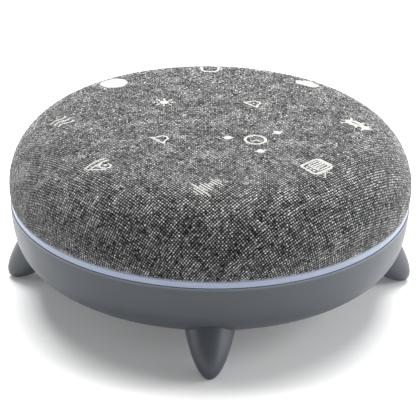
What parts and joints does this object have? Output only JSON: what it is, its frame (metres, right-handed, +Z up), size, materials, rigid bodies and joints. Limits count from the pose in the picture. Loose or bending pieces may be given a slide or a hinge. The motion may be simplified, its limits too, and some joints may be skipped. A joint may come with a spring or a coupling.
{
  "type": "smart speaker",
  "caption": "Round bedside smart speaker with a cloth-covered touch dome, thin light ring, shallow moulded base and splayed legs.",
  "frame": {"origin": "centre of the footprint, on the surface that the feet stand on", "axes": "+Z up, -Y the front that the picture shows, +Y the back with the power socket and button, +X to the right seen from the front"},
  "size_m": [0.1544, 0.1544, 0.0663],
  "materials": {
    "cloth": "heathered linen weave",
    "dome_plastic": "moulded, matt",
    "ring_diffuser": "translucent diffuser, satin",
    "base_plastic": "satin, blue-grey",
    "leg_plastic": "satin, darker blue-grey",
    "rubber": "matt",
    "steel": "zinc plated",
    "film": "amber polyimide",
    "copper": "bare copper",
    "chip": "moulded epoxy",
    "white_plastic": "moulded nylon",
    "board": "green solder mask",
    "wire": "PVC insulation",
    "foam": "open-cell foam",
    "ferrite": "sintered ferrite",
    "paper": "coated paper",
    "spider_cloth": "resin-treated cotton"
  },
  "bodies": {
    "housing": {"fabric_cover": "cloth", "dome_shell": "dome_plastic", "light_ring": "ring_diffuser", "base_housing": "base_plastic", "bottom_grille": "base_plastic", "leg_front": "leg_plastic", "leg_right": "leg_plastic", "leg_back": "leg_plastic", "leg_left": "leg_plastic", "foot_pads": "rubber", "leg_screws": "steel", "dome_screws": "steel", "touch_film": "film", "touch_electrodes": "copper", "touch_controller": "chip", "film_connector": "white_plastic", "microphones": "steel", "sensor_ribbon": "white_plastic", "led_board": "board", "leds": "white_plastic", "led_wires": "wire", "speaker_box": "dome_plastic", "box_gasket": "foam", "box_screws": "steel", "speaker_baffle": "dome_plastic", "driver_gasket": "foam", "driver_basket": "steel", "driver_screws": "steel", "driver_terminal": "board", "top_plate": "steel", "magnet": "ferrite", "yoke": "steel", "spider": "spider_cloth", "surround": "rubber", "foam_sleeve": "foam", "radiator_frame": "dome_plastic", "radiator_surround": "rubber", "wire_grommet": "rubber", "speaker_wires": "wire", "main_board": "board", "board_screws": "steel", "radio_module": "board", "amplifier": "chip", "capacitors": "steel", "inductor": "ferrite", "board_connectors": "white_plastic", "usb_socket": "steel", "usb_tongue": "chip", "button_switch": "chip"},
    "cone_assembly": {"coil_former": "film", "coil_winding": "copper", "cone": "paper", "dust_cap": "paper"},
    "radiator": {"radiator_plate": "dome_plastic", "radiator_weight": "steel"},
    "button": {"power_button": "leg_plastic", "switch_plunger": "white_plastic"}
  },
  "joints": [
    {"name": "cone_excursion", "type": "slide", "parent": "housing", "child": "cone_assembly", "axis": [0, 0, 1], "range_m": [-0.002, 0.002], "stiffness_N_per_m": 1200, "deforming": ["surround", "spider"]},
    {"name": "radiator_excursion", "type": "slide", "parent": "housing", "child": "radiator", "axis": [0, 0, 1], "range_m": [-0.002, 0.002], "stiffness_N_per_m": 900, "deforming": ["radiator_surround"]},
    {"name": "button_press", "type": "slide", "parent": "housing", "child": "button", "axis": [-0.2756, -0.9613, 0], "range_m": [0, 0.0004], "stiffness_N_per_m": 2500}
  ]
}
